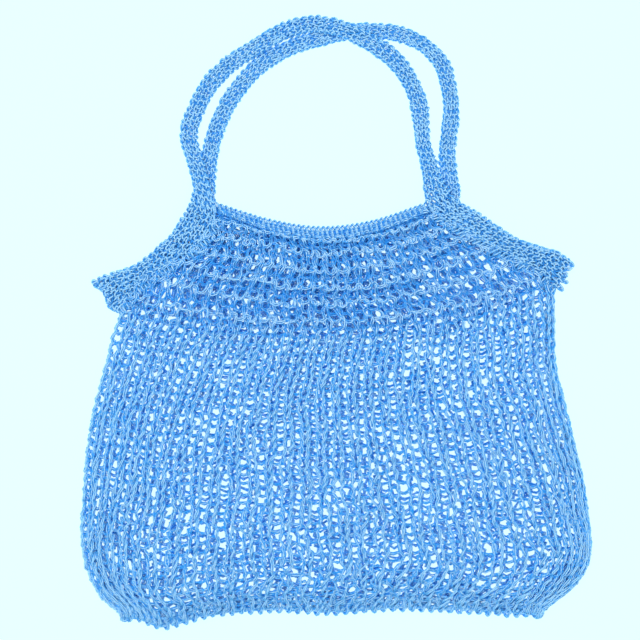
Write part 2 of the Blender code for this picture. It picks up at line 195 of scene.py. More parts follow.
def bag_side(lifted):
    """The lifted front or the back of the bag as a cloth: the rows of the net, then those of the flap."""
    flat_w = np.arange(0, WALES + CLOTH_WALES / 2, CLOTH_WALES)
    fold = np.linspace(FOLD_SHARE, 0, FOLD_POINTS + 1)[:-1]
    w = np.concatenate([-fold, flat_w, WALES + fold[::-1]])
    all_rows = NET_ROWS + 2 * (len(FLAP_LINES) - 1)
    q = np.arange(0, all_rows + CLOTH_ROWS / 2, CLOTH_ROWS)
    side_run = along(np.array(LEFT_SIDE))[-1]
    turn = math.pi / 2 * fold / FOLD_SHARE
    middle = (NET_DEPTH + YARN + FABRIC + FOLD_CLEAR + FABRIC / 2) / 2
    rows = []
    for at in q:
        if at < NET_ROWS:
            s = 1 - at / NET_ROWS
            v = s - ROW_GROWTH * s * (1 - s)
            points = net_row(v, flat_w / WALES)
            from_side = np.minimum(points[:, 0] - points[0, 0], points[-1, 0] - points[:, 0])
            z = flat_height(from_side, (1 - v) * side_run, FABRIC + FOLD_CLEAR, lifted)
        else:
            line = len(FLAP_LINES) - 1 - (at - NET_ROWS) / 2
            points, from_side, height = flap_row(line, flat_w)
            z = flat_height(from_side, side_run, height, lifted)
        row = np.column_stack([points, z])
        ends = []
        for end, way in ((row[0], -1.0), (row[-1], 1.0)):
            round_fold = np.tile(end, (len(fold), 1))
            round_fold[:, 0] += way * FOLD_TURN * np.sin(turn)
            round_fold[:, 2] = middle + (end[2] - middle) * np.cos(turn)
            ends.append(round_fold)
        rows.append(np.concatenate([ends[0], row, ends[1][::-1]]))
    return cloth(np.array(rows), w, q, 1 if lifted else -1)


front_cloth = bag_side(lifted=True)
back_cloth = bag_side(lifted=False)

# One stitch.
REACH = 0.86  # half its height, in rows
REACH_GROWTH = 0.22  # how much taller the stitches of the lowest row are than those of the top one
FLARE = 0.2  # how far its legs swing, in wales
GATHER = 0.06  # how far both legs lean in under the loop above them, in wales
LEAN = 0.45  # how much higher one leg lies than the other
RIDGE_KNOBS = (0.95, 0.5)  # in garter stitch, how far the whole loop and its very top stand out
FOOT_ROOM = 0.12  # share that is left of what would hang out below the cloth

# Stitches made by hand are uneven. The first three are shares of a stitch's own size, the others how
# far it is pulled out of place, each with the wales and rows over which that changes.
UNEVEN_REACH = 0.16
UNEVEN_FLARE = 0.3
UNEVEN_DEPTH = 0.2
UNEVEN_STEP = 0.05  # wales, from one stitch to the next
WIDE_PULL = (0.13, 1.7, 2.3)  # to either side, in wales
CLOSE_PULL = (0.07, 1.0, 1.2)
WIDE_SAG = (0.2, 1.9, 2.1)  # up or down, in rows
CLOSE_SAG = (0.1, 0.9, 1.0)
UNEVEN_SHIFT = (0.5, 6.0, 6.0)  # share of the shift of a whole row


def drift(x, y, seed):
    """Smooth random values from -1 to 1 that change over a distance of 1."""
    size = 128
    table = np.random.default_rng(seed).uniform(-1, 1, (size, size))
    x, y = np.broadcast_arrays(np.asarray(x, float), np.asarray(y, float))
    i, j = np.floor(x).astype(int), np.floor(y).astype(int)
    u, v = smoothstep(x - i), smoothstep(y - j)
    low = table[i % size, j % size] * (1 - u) + table[(i + 1) % size, j % size] * u
    high = table[i % size, (j + 1) % size] * (1 - u) + table[(i + 1) % size, (j + 1) % size] * u
    return low * (1 - v) + high * v


def knit_level(t, below, above, ridge):
    """How high the yarn runs at phase t of a knit stitch. Below and above are the stitches it is looped
    with there: 1 for knit, which gives stocking stitch, and -1 for purl, which gives a garter ridge."""
    stocking = -np.cos(2 * t)
    garter = -(ridge[0] * np.cos(t) + ridge[1] * np.cos(3 * t))
    upper = smoothstep(0.5 - np.cos(t))
    return (garter if below < 0 else stocking) * (1 - upper) + (garter if above < 0 else stocking) * upper


def course(
    surface, q, w_from, w_to, depth, seed, points, kinds=(1, 1, 1), flare=FLARE, reach=REACH, gather=GATHER,
    loose=1.0, moved=(0.0, 0.0), taper=0.0, ridge=RIDGE_KNOBS,
):
    """One row of stitches: the yarn's points from wale place w_from to w_to, feet at whole numbers, and
    how high each lies in the fabric. kinds are this row's stitch and those of the rows below and above it,
    loose is how uneven they are, and moved shifts the row over the cloth, by wales and rows."""
    count = max(int(round((w_to - w_from) * points)), 2)
    w = np.linspace(w_from, w_to, count + 1)
    t = 2 * math.pi * w
    row = round(q * 2)

    def each_stitch(number):
        """Random values that differ from stitch to stitch."""
        return drift(w * 2, row, seed + number)

    def pull(how, at_q, number):
        """How far each stitch is pulled in one of the ways above."""
        amount, wales, rows = how
        return amount * drift(w / wales, at_q / rows, seed + number)

    kind, below, above = kinds
    level = kind * knit_level(t, below * kind, above * kind, ridge)
    level = level * (1 + UNEVEN_DEPTH * loose * each_stitch(7)) - LEAN * loose * kind * np.sin(t)
    held = smoothstep(np.minimum(w - w_from, w_to - w))
    place_w = w + flare * np.sin(2 * t) * (1 + UNEVEN_FLARE * loose * each_stitch(1)) + gather * np.sin(t)
    place_w += taper * np.sin(t) * (1 - np.cos(t)) / 2
    place_w += UNEVEN_STEP * loose * held * drift(w * 1.5, row, seed + 2)
    place_q = q - reach * (1 + UNEVEN_REACH * loose * each_stitch(0)) * np.cos(t)
    place_w += loose * held * (pull(WIDE_PULL, place_q, 3) + pull(CLOSE_PULL, place_q, 4))
    place_q += loose * (pull(WIDE_SAG, q, 5) + pull(CLOSE_SAG, q, 6))
    place_q = np.maximum(place_q, FOOT_ROOM * (place_q + 1))
    shift = smoothstep(held * 0.5)
    uneven = 1 + pull(UNEVEN_SHIFT, q, 8)
    found, normal = surface(place_w + moved[0] * shift * uneven, place_q + moved[1] * shift * uneven)
    return np.column_stack([found + normal * depth * level[:, None], level])


# The yarn itself.
YARN_SWELLS = 160.0  # thick and thin places in a metre
YARN_UNEVEN = 0.16  # share by which it is thicker or thinner there


def yarn_tree():
    """Geometry Nodes that spin lines of edges into round yarn, a little thicker and thinner on its way."""
    tree = bpy.data.node_groups.new("spun_yarn", "GeometryNodeTree")
    for name, kind in (
        ("Courses", "NodeSocketGeometry"), ("Radius", "NodeSocketFloat"), ("Unevenness", "NodeSocketFloat"),
        ("Sides", "NodeSocketInt"), ("Seed", "NodeSocketFloat"), ("Finish", "NodeSocketMaterial"),
    ):
        tree.interface.new_socket(name, in_out="INPUT", socket_type=kind)
    tree.interface.new_socket("Yarn", in_out="OUTPUT", socket_type="NodeSocketGeometry")
    new, link = tree.nodes.new, tree.links.new
    given, out = new("NodeGroupInput"), new("NodeGroupOutput")
    lines = new("GeometryNodeMeshToCurve")
    link(given.outputs["Courses"], lines.inputs["Mesh"])
    run = new("GeometryNodeSplineParameter")
    measured = new("GeometryNodeStoreNamedAttribute")
    measured.data_type, measured.domain = "FLOAT", "POINT"
    measured.inputs["Name"].default_value = "run"
    link(lines.outputs["Curve"], measured.inputs["Geometry"])
    link(run.outputs["Length"], measured.inputs["Value"])
    swell = new("ShaderNodeTexNoise")
    swell.noise_dimensions = "4D"
    swell.inputs["Scale"].default_value = YARN_SWELLS
    swell.inputs["Detail"].default_value = 1.0
    link(given.outputs["Seed"], swell.inputs["W"])
    # Noise seldom leaves the range from 0.3 to 0.7, which becomes the one from -1 to 1 here.
    spread = new("ShaderNodeMapRange")
    spread.inputs["From Min"].default_value = 0.3
    spread.inputs["From Max"].default_value = 0.7
    spread.inputs["To Min"].default_value = -1.0
    link(swell.outputs["Fac"], spread.inputs["Value"])
    uneven = new("ShaderNodeMath")
    uneven.operation = "MULTIPLY_ADD"
    uneven.inputs[2].default_value = 1.0
    link(spread.outputs["Result"], uneven.inputs[0])
    link(given.outputs["Unevenness"], uneven.inputs[1])
    thickness = new("ShaderNodeMath")
    thickness.operation = "MULTIPLY"
    link(given.outputs["Radius"], thickness.inputs[0])
    link(uneven.outputs["Value"], thickness.inputs[1])
    ring = new("GeometryNodeCurvePrimitiveCircle")
    ring.inputs["Radius"].default_value = 1.0
    link(given.outputs["Sides"], ring.inputs["Resolution"])
    turned = new("GeometryNodeStoreNamedAttribute")
    turned.data_type, turned.domain = "FLOAT_VECTOR", "POINT"
    turned.inputs["Name"].default_value = "turn"
    link(ring.outputs["Curve"], turned.inputs["Geometry"])
    link(new("GeometryNodeInputPosition").outputs["Position"], turned.inputs["Value"])
    sweep = new("GeometryNodeCurveToMesh")
    sweep.inputs["Fill Caps"].default_value = True
    link(measured.outputs["Geometry"], sweep.inputs["Curve"])
    link(turned.outputs["Geometry"], sweep.inputs["Profile Curve"])
    link(thickness.outputs["Value"], sweep.inputs["Scale"])
    smooth = new("GeometryNodeSetShadeSmooth")
    real = new("GeometryNodeRealizeInstances")
    finish = new("GeometryNodeSetMaterial")
    link(sweep.outputs["Mesh"], smooth.inputs["Geometry"])
    link(smooth.outputs["Geometry"], real.inputs["Geometry"])
    link(real.outputs["Geometry"], finish.inputs["Geometry"])
    link(given.outputs["Finish"], finish.inputs["Material"])
    link(finish.outputs["Geometry"], out.inputs["Yarn"])
    return tree


spun_yarn = yarn_tree()


def spin(name, lines, material, sides, radius=YARN, seed=1.0):
    """Turns lines of points and levels into one mesh of yarn, and removes the modifier that made it.
    The yarn lies on the surface under the bag at the lowest."""
    points = np.concatenate(lines)
    level = points[:, 3]
    points = points[:, :3] * MM
    points[:, 2] = np.maximum(points[:, 2], (1 + YARN_UNEVEN) * radius * MM)
    edges, start = [], 0
    for line in lines:
        edges += [(k, k + 1) for k in range(start, start + len(line) - 1)]
        start += len(line)
    mesh = bpy.data.meshes.new(name + "_run")
    mesh.from_pydata(points.tolist(), edges, [])
    mesh.attributes.new("level", "FLOAT", "POINT").data.foreach_set("value", level)
    guide = bpy.data.objects.new(name + "_run", mesh)
    bpy.context.scene.collection.objects.link(guide)
    modifier = guide.modifiers.new("spin", "NODES")
    modifier.node_group = spun_yarn
    values = {
        "Radius": radius * MM, "Unevenness": YARN_UNEVEN, "Sides": sides, "Seed": seed, "Finish": material,
    }
    for item in spun_yarn.interface.items_tree:
        if item.item_type == "SOCKET" and item.in_out == "INPUT" and item.name in values:
            modifier[item.identifier] = values[item.name]
    guide.update_tag()
    made = bpy.data.meshes.new_from_object(guide.evaluated_get(bpy.context.evaluated_depsgraph_get()))
    guide.modifiers.remove(modifier)
    bpy.data.objects.remove(guide)
    piece = bpy.data.objects.new(name, made)
    bpy.context.scene.collection.objects.link(piece)
    return piece


# The cotton.
PLIES = 3  # in one strand
PLY_EDGE = 0.6  # below 1, the grooves between the plies are narrow
FIBRES_ALONG = 260.0  # how fast the fibres change along the yarn, a metre
FIBRES_AROUND = 2.2  # and around it
FIBRE_SCALE = 2.6
DYE_SPOTS = 110.0  # lighter and darker places in a metre
DYE_CHANGE = 1.0
SLUBS = 520.0  # fuzzy places in a metre
SLUB_CHANGE = 2.6
CREST = (0.72, 1.0)  # how far the surface has to face up or down for the painted highlight to start, and to be full
RAISED = (0.45, 1.05)  # and how far out of the painted shade the yarn has to be there
FIBRE_SHINE = 1.4
FIBRE_ROUGHNESS = 0.2
FIBRE_HEIGHT = 0.5  # against that of the plies


def cotton_group():
    """Shiny twisted cotton as shader nodes. Yarn deep in the fabric gets painted shade, the top of each
    strand gets a painted highlight where it faces up or down, and the dye changes slowly along the yarn."""
    tree = bpy.data.node_groups.new("twisted_cotton", "ShaderNodeTree")
    for name, kind in (
        ("Light", "NodeSocketColor"), ("Body", "NodeSocketColor"), ("Deep Shade", "NodeSocketColor"),
        ("Twist Length", "NodeSocketFloat"), ("Middle Shade", "NodeSocketFloat"),
        ("Depth Shade", "NodeSocketFloat"), ("Roughness", "NodeSocketFloat"),
    ):
        tree.interface.new_socket(name, in_out="INPUT", socket_type=kind)
    for name, kind in (
        ("Colour", "NodeSocketColor"), ("Roughness", "NodeSocketFloat"), ("Height", "NodeSocketFloat"),
    ):
        tree.interface.new_socket(name, in_out="OUTPUT", socket_type=kind)
    new, link = tree.nodes.new, tree.links.new

    def math_node(operation, *values):
        node = new("ShaderNodeMath")
        node.operation = operation
        for socket, value in zip(node.inputs, values):
            if isinstance(value, (int, float)):
                socket.default_value = value
            else:
                link(value, socket)
        return node.outputs["Value"]

    def ramp(value, low, high):
        node = new("ShaderNodeMapRange")
        node.interpolation_type = "SMOOTHSTEP"
        node.inputs["From Min"].default_value = low
        node.inputs["From Max"].default_value = high
        link(value, node.inputs["Value"])
        return node.outputs["Result"]

    def noise(scale, vector):
        node = new("ShaderNodeTexNoise")
        node.inputs["Scale"].default_value = scale
        node.inputs["Detail"].default_value = 3.0
        link(vector, node.inputs["Vector"])
        return node.outputs["Fac"]

    def mixed(share, first, second):
        node = new("ShaderNodeMix")
        node.data_type = "RGBA"
        link(share, node.inputs["Factor"])
        link(first, node.inputs["A"])
        link(second, node.inputs["B"])
        return node.outputs["Result"]

    given, out = new("NodeGroupInput"), new("NodeGroupOutput")
    run, turn, level = (new("ShaderNodeAttribute") for _ in range(3))
    run.attribute_name, turn.attribute_name, level.attribute_name = "run", "turn", "level"
    sides = new("ShaderNodeSeparateXYZ")
    link(turn.outputs["Vector"], sides.inputs["Vector"])
    angle = math_node("ARCTAN2", sides.outputs["Y"], sides.outputs["X"])
    turns = math_node("DIVIDE", run.outputs["Fac"], given.outputs["Twist Length"])
    wound = math_node("ADD", angle, math_node("MULTIPLY", turns, 2 * math.pi))
    groove = math_node("ABSOLUTE", math_node("SINE", math_node("MULTIPLY", wound, PLIES / 2)))
    ply = math_node("POWER", groove, PLY_EDGE)
    # Fibres lie along the plies, so their pattern is drawn out along the yarn.
    spread = new("ShaderNodeCombineXYZ")
    link(math_node("MULTIPLY", run.outputs["Fac"], FIBRES_ALONG), spread.inputs["X"])
    link(math_node("MULTIPLY", math_node("COSINE", wound), FIBRES_AROUND), spread.inputs["Y"])
    link(math_node("MULTIPLY", math_node("SINE", wound), FIBRES_AROUND), spread.inputs["Z"])
    fibres = noise(FIBRE_SCALE, spread.outputs["Vector"])
    place = new("ShaderNodeTexCoord").outputs["Object"]
    dye, slubs = noise(DYE_SPOTS, place), noise(SLUBS, place)
    # Painted shade: the yarn's level, how high it lies, mixes its colour from the deep shade colour towards
    # the body colour.
    raised = math_node(
        "MULTIPLY_ADD", level.outputs["Fac"], given.outputs["Depth Shade"], given.outputs["Middle Shade"]
    )
    raised = math_node("ADD", raised, math_node("MULTIPLY_ADD", dye, DYE_CHANGE, -DYE_CHANGE / 2))
    raised = math_node("ADD", raised, math_node("MULTIPLY_ADD", slubs, SLUB_CHANGE, -SLUB_CHANGE / 2))
    # Painted highlight: where the surface faces straight up or down, the colour goes towards the highlight
    # colour, as if lit from above.
    facing = new("ShaderNodeSeparateXYZ")
    link(new("ShaderNodeNewGeometry").outputs["Normal"], facing.inputs["Vector"])
    crest = ramp(math_node("ABSOLUTE", facing.outputs["Z"]), *CREST)
    painted_highlight = math_node("MULTIPLY", crest, ramp(raised, *RAISED))
    single = math_node("MULTIPLY_ADD", fibres, FIBRE_SHINE, -0.5)
    painted_highlight = math_node("MULTIPLY", painted_highlight, math_node("ADD", ply, single))
    body = mixed(raised, given.outputs["Deep Shade"], given.outputs["Body"])
    link(mixed(painted_highlight, body, given.outputs["Light"]), out.inputs["Colour"])
    rough = math_node("MULTIPLY_ADD", fibres, FIBRE_ROUGHNESS, -FIBRE_ROUGHNESS / 2)
    link(math_node("ADD", given.outputs["Roughness"], rough), out.inputs["Roughness"])
    link(math_node("MULTIPLY_ADD", fibres, FIBRE_HEIGHT, ply), out.inputs["Height"])
    return tree


twisted_cotton = cotton_group()


def cotton(name, highlight, body, deep_shade, middle_shade, depth_shade, twist=7.5):
    """Blue cotton yarn with a faint shine. Highlight, body and deep shade are the colours of the painted
    highlight on top of the strands, of the yarn on top and of the painted shade on the yarn below. Middle
    shade is how light the yarn is painted in the middle of the fabric, depth shade how much lighter it is
    painted above, and twist the length of a turn of its plies."""
    material = bpy.data.materials.new(name)
    material.use_nodes = True
    tree = material.node_tree
    shader = tree.nodes["Principled BSDF"]
    shader.inputs["Sheen Weight"].default_value = 0.04
    shader.inputs["Sheen Roughness"].default_value = 0.35
    shader.inputs["Sheen Tint"].default_value = (0.62, 0.85, 1.0, 1.0)
    shader.inputs["Specular IOR Level"].default_value = 0.3
    yarn = tree.nodes.new("ShaderNodeGroup")
    yarn.node_tree = twisted_cotton
    values = {
        "Light": (*highlight, 1.0), "Body": (*body, 1.0), "Deep Shade": (*deep_shade, 1.0), "Twist Length": twist * MM,
        "Middle Shade": middle_shade, "Depth Shade": depth_shade, "Roughness": 0.36,
    }
    for socket, value in values.items():
        yarn.inputs[socket].default_value = value
    bump = tree.nodes.new("ShaderNodeBump")
    bump.inputs["Strength"].default_value = 0.68
    bump.inputs["Distance"].default_value = 0.35 * MM
    tree.links.new(yarn.outputs["Height"], bump.inputs["Height"])
    tree.links.new(bump.outputs["Normal"], shader.inputs["Normal"])
    tree.links.new(yarn.outputs["Colour"], shader.inputs["Base Color"])
    tree.links.new(yarn.outputs["Roughness"], shader.inputs["Roughness"])
    return material


net_cotton = cotton(
    "net_cotton", highlight=(0.46, 0.74, 0.94), body=(0.115, 0.46, 0.88), deep_shade=(0.008, 0.35, 0.92),
    middle_shade=0.63, depth_shade=0.44,
)

# The strands of the yarn.
STRANDS = 3
APART = 0.82  # how far each one lies from the middle of the yarn
LAY = 6.0  # length over which they turn round each other by one radian
WIDE_STRAY = (2.2, 13)  # how far they stray from that, in radians, and over which length
CLOSE_STRAY = (0.7, 4)
STRAND_STRAY = (0.3, 5)  # share by which each one moves out or in, and over which length
STRAND_HEIGHT = 0.85  # how high the three together are against their width
STRAND_SHARE = 0.9  # of a strand's place in the yarn that goes into its painted shade
LOOP_SHARE = 0.6  # of the yarn's place in the fabric that does


def strands(lines, seed, apart=APART):
    """The loosely laid strands of the yarn along each line: for each strand, its own lines."""
    laid = [[] for _ in range(STRANDS)]
    for k, line in enumerate(lines):
        run = along(line[:, :3])
        way = np.gradient(line[:, :3], axis=0)
        way /= np.linalg.norm(way, axis=1)[:, None]
        # Across is level and shrinks where the yarn runs nearly straight up, so it never swings round there.
        across = np.cross(way, [0.0, 0.0, 1.0])
        across /= np.maximum(np.linalg.norm(across, axis=1), 0.3)[:, None]
        over = np.cross(across, way)
        lay = run / LAY + WIDE_STRAY[0] * drift(run / WIDE_STRAY[1], k, seed)
        lay += CLOSE_STRAY[0] * drift(run / CLOSE_STRAY[1], k, seed + 1)
        for number, found in enumerate(laid):
            turn = lay + 2 * math.pi * number / STRANDS
            out = apart * (1 + STRAND_STRAY[0] * drift(run / STRAND_STRAY[1], k, seed + 2 + number))
            offset = across * (out * np.cos(turn))[:, None]
            offset += over * (STRAND_HEIGHT * out * np.sin(turn))[:, None]
            # Painted shade: lower strands, and yarn lower in the fabric, get a lower level and are painted
            # darker.
            raised = LOOP_SHARE * line[:, 3] + STRAND_SHARE * np.sin(turn)
            found.append(np.column_stack([line[:, :3] + offset, raised]))
    return laid


def spin_strands(name, rows, material, sides, seed, first, radius=YARN, apart=APART):
    """Spins rows of stitches as one piece for each strand. The piece of the first strand has the fabric's
    name, and first is the seed of its thick and thin places."""
    names = [name] + ["%s_strand_%d" % (name, number) for number in range(2, STRANDS + 1)]
    return [
        spin(piece, lines, material, sides, radius, seed=first + k)
        for k, (piece, lines) in enumerate(zip(names, strands(rows, seed, apart)))
    ]


# The rows of the net.
NET_LOOSE = 1.1  # how uneven its top rows are
LOW_LOOSE = 1.1  # how much more uneven its lowest row is
REACH_AT = 0.4  # where its stitches have the usual reach, as a share of the way down
SEAM_SHADE = 0.8  # how much the painted shade lifts at the seam, so the yarn is painted lighter there
CAST_ON = (0.35, 1.15)  # place of the two close rows through which the seam goes
CAST_ON_REACH = 0.35
CAST_ON_SHIFT = (0.4, 0.0)  # in wales and rows
BACK_SHIFT = (0.36, 0.5)  # how far the back's stitches are out of line with the front's
FRONT_SEED, BACK_SEED = 11, 47


def net(name, surface, seed, points, sides, moved=(0.0, 0.0)):
    """Rows of the net of one side of the bag. Points is how many the yarn has in a stitch, and sides how
    many it has around."""
    edges = (-FOLD_SHARE, WALES + FOLD_SHARE)
    rows = []
    for k in range(NET_ROWS):
        crowded = 1 - k / NET_ROWS
        row = course(
            surface, k + 0.5, *edges, NET_DEPTH, seed, points, loose=NET_LOOSE + LOW_LOOSE * crowded**2,
            reach=REACH + REACH_GROWTH * (crowded - REACH_AT), moved=moved,
        )
        row[:, 3] += SEAM_SHADE * crowded**8
        rows.append(row)
    for q in CAST_ON:
        row = course(
            surface, q, *edges, NET_DEPTH, seed + 9, points, reach=CAST_ON_REACH, moved=CAST_ON_SHIFT
        )
        row[:, 3] += SEAM_SHADE
        rows.append(row)
    return spin_strands(name, rows, net_cotton, sides, seed + 20, 1.0)


front_net = net("front_net", front_cloth, FRONT_SEED, points=10, sides=5)
back_net = net("back_net", back_cloth, BACK_SEED, points=8, sides=4, moved=BACK_SHIFT)

WOUND_POINTS = 9  # points of the yarn in one turn round an edge


def wound(edge, outward, low, high, reach_out, reach_in, turns, points=WOUND_POINTS):
    """Yarn wound round an edge: from reach_in inside it to reach_out past it, between two heights."""
    share = np.linspace(0, 1, int(turns * points) + 1)
    turn = 2 * math.pi * turns * share
    place, way = edge(share), outward(share)
    out, into = np.broadcast_to(reach_out, share.shape), np.broadcast_to(reach_in, share.shape)
    offset = (out - into) / 2 + (out + into) / 2 * np.cos(turn)
    z = (low + high) / 2 + (high - low) / 2 * np.sin(turn)
    # The last column is a level for painted shade: the half of each turn under the edge is painted darker.
    return np.column_stack([place + way * offset[:, None], z, np.sin(turn)])


# The bottom seam: yarn taken over the edge of front and back, three times in every two columns.
SEAM_TURNS = 45
SEAM_HEIGHTS = (1.2, 7.4)
SEAM_OUT = (2.2, 0.7)  # how far it reaches past the edge, and by how much that changes
SEAM_IN = (3.2, 0.8)  # the same to the inside
SEAM_SEED = 5


def bottom_edge(share):
    """Point of the bottom edge at each share of its length."""
    wales = np.linspace(0, 1, 200)
    run = along(net_row(1.0, wales))
    return net_row(1.0, np.interp(share * run[-1], run, wales))


def bottom_outward(share):
    """Directions straight out from the bottom edge at each share of its length."""
    way = np.column_stack([np.gradient(bottom_edge(share)[:, 1]), -np.gradient(bottom_edge(share)[:, 0])])
    return way / np.linalg.norm(way, axis=1)[:, None]


seam_run = np.linspace(0, 1, SEAM_TURNS * WOUND_POINTS + 1)
seam_out = SEAM_OUT[0] + SEAM_OUT[1] * drift(seam_run * SEAM_TURNS, 0, SEAM_SEED)
seam_in = SEAM_IN[0] + SEAM_IN[1] * drift(seam_run * SEAM_TURNS, 9, SEAM_SEED)
seam_line = wound(bottom_edge, bottom_outward, *SEAM_HEIGHTS, seam_out, seam_in, SEAM_TURNS)
bottom_seam = spin("bottom_seam", sum(strands([seam_line], 63), []), net_cotton, sides=5, seed=3.0)
for piece in front_net + back_net + [bottom_seam]:
    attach(piece, "root")
    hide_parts("bag_body")
for pieces, others, under in ((front_net, [bottom_seam], ["back_net"]), (back_net, [], [])):
    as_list(under)

# ------------------------------------------------------------------------------------------------
# The two flaps that carry on from the net above the side tips, in the same yarn. They are knitted in
# garter stitch, so every second row stands up as a ridge, and each ridge has fewer and narrower
# stitches than the last.

YOKE_DEPTH = 1.6
YOKE_RIDGE = (1.4, -0.3)  # the ridges are waves, without the knobs of firmer garter stitch
YOKE_ROWS = 14
YOKE_LOOSE = 1.5
YOKE_FLARE = 0.2
YOKE_TAPER = 0.08  # how much closer together the legs are at the top of a stitch
YOKE_REACH = 0.75
YOKE_SHIFT = 0.4  # how far the stitches of a row are pulled to one side, in wales
YOKE_TUCK = 6.0  # how far a row goes on past the edge of the strap that is sewn to it
YOKE_PASS = 2.6  # how far it rises or sinks to pass the strap
YOKE_PASS_RUN = 11.0  # the length over which it does so
FRONT_STRAND = (0.68, 0.95)  # radius of a strand, and how far it lies from the middle of the yarn
BACK_STRAND = (0.85, 1.2)
BACK_YOKE_SHIFT = (0.25, 0.5)

yoke_cotton = cotton(
    "yoke_cotton", highlight=(0.54, 0.8, 0.96), body=(0.098, 0.41, 0.85), deep_shade=(0.008, 0.33, 0.9),
    middle_shade=0.62, depth_shade=0.24,
)


def yoke(name, surface, seed, points, sides, passing, strand, moved=(0.0, 0.0)):
    """Rows of a flap: two plain ones, then purl and plain in turn. Passing is -1 where their ends go under
    the strap and 1 where they go over it."""
    kinds = [1, 1] + [-1, 1] * ((YOKE_ROWS - 2) // 2)
    rows = []
    for k in range(YOKE_ROWS):
        left_x, _, _, _, _, _, right_x, _, pitch = flap_line(len(FLAP_LINES) - 1 - (k + 0.5) / 2)
        middle = (left_x + right_x) / 2
        w_from = WALES / 2 + (left_x - YOKE_TUCK - middle) / pitch
        w_to = WALES / 2 + (right_x + YOKE_TUCK - middle) / pitch
        around = (kinds[k], kinds[k - 1] if k else 1, kinds[k + 1] if k + 1 < YOKE_ROWS else -1)
        q = NET_ROWS + k + 0.5
        place = (moved[0] + YOKE_SHIFT * drift(k * 0.7, 0, seed + 30), moved[1])
        row = course(
            surface, q, w_from, w_to, YOKE_DEPTH, seed, points, around, YOKE_FLARE, YOKE_REACH,
            loose=YOKE_LOOSE, moved=place, taper=YOKE_TAPER, ridge=YOKE_RIDGE,
        )
        from_end = np.minimum(along(row[:, :2]), along(row[::-1, :2])[::-1])
        row[:, 2] += YOKE_PASS * passing * (1 - smoothstep(from_end / YOKE_PASS_RUN))
        rows.append(row)
    return spin_strands(name, rows, yoke_cotton, sides, seed + 20, 2.0, *strand)


front_yoke = yoke(
    "front_yoke", front_cloth, FRONT_SEED, points=11, sides=5, passing=-1, strand=FRONT_STRAND
)
back_yoke = yoke(
    "back_yoke", back_cloth, BACK_SEED, points=8, sides=4, passing=1, strand=BACK_STRAND,
    moved=BACK_YOKE_SHIFT,
)

# ------------------------------------------------------------------------------------------------
# The two rims: a firm band knitted along the top of each flap on thin needles, with the same cotton
# as one tight round yarn, so its columns stand up as close ribs. It is bound off along the top.

RIM_RIBS = 43
RIM_ROWS = 4
RIM_YARN = 0.72
RIM_DEPTH = 1.15
RIM_LOOSE = 0.4
RIM_FLARE = 0.1
RIM_GATHER = 0.16
RIM_GRID = 0.5  # of a rib or a row, between two points of the rim's cloth
# Lines across the rim: left x, y at the left side, at each quarter and at the right side, right x.
RIM_EDGE = (-93.2, 85.2, 70.8, 64.3, 70.3, 86.0, 71.6)
RIM_TOP = (-94.2, 93.0, 80.5, 74.5, 79.5, 93.0, 68.3)
RIM_SPAN = RIM_ROWS + 1.1  # rows from the first line to the second
FRONT_RIM_HEIGHT = 12.5  # of the middle of the rim
BACK_RIM_HEIGHT = 1.7
BIND_HEIGHTS = (-0.9, 1.1)  # of the bound-off stitches against the middle
BIND_OUT = -0.2  # how far they reach past the top of the rim
BIND_IN = 2.6  # and down into it
INSIDE_ROWS = 0.9  # rows between the lines of yarn that fill the inside of the rim
INSIDE_RIBS = 0.4  # ribs between two of their points
INSIDE_DEPTH = 0.1

rim_cotton = cotton(
    "rim_cotton", highlight=(0.5, 0.74, 0.9), body=(0.14, 0.45, 0.8), deep_shade=(0.014, 0.27, 0.78),
    middle_shade=0.5, depth_shade=0.45,
)


def rim_line(share):
    """Points (x, y) across the rim at a share of its height, as a function of the place along it."""
    line = np.array(RIM_EDGE) * (1 - share) + np.array(RIM_TOP) * share

    def read(u):
        return np.column_stack([line[0] + (line[6] - line[0]) * u, spline(QUARTERS, line[1:6], u)[:, 0]])

    return read


def rim(name, height, facing, seed, points, sides):
    """A rim at one height: its rows, the bound-off stitches along its top and the close inside of the ribs.
    Facing is 1 where the rows' right side is up, and -1 where it is down."""
    w = np.arange(-1, RIM_RIBS + 1 + RIM_GRID / 2, RIM_GRID)
    q = np.arange(-1, RIM_ROWS + 1 + RIM_GRID / 2, RIM_GRID)
    lines = [rim_line(at / RIM_SPAN)(w / RIM_RIBS) for at in q]
    grid = np.array([np.column_stack([line, np.full(len(w), height)]) for line in lines])
    surface = cloth(grid, w, q, facing)
    rows = [
        course(
            surface, k + 0.5, -1, RIM_RIBS + 1, RIM_DEPTH, seed, points, flare=RIM_FLARE, gather=RIM_GATHER,
            loose=RIM_LOOSE,
        )
        for k in range(RIM_ROWS)
    ]
    low, high = height + BIND_HEIGHTS[0], height + BIND_HEIGHTS[1]

    def upwards(share):
        return np.tile([0.0, 1.0], (len(share), 1))

    bound = wound(rim_line(1.0), upwards, low, high, BIND_OUT, BIND_IN, RIM_RIBS, points)
    inside = []
    for row in np.arange(0.5, RIM_ROWS, INSIDE_ROWS):
        place = np.arange(0.3, RIM_RIBS, INSIDE_RIBS)
        found, normal = surface(place, np.full(len(place), row))
        # These lines get a low level, so they are painted a little darker: painted shade inside the ribs.
        inside.append(np.column_stack([found - INSIDE_DEPTH * normal, np.full(len(place), -0.2)]))
    return spin(name, rows + [bound] + inside, rim_cotton, sides, radius=RIM_YARN, seed=4.0)


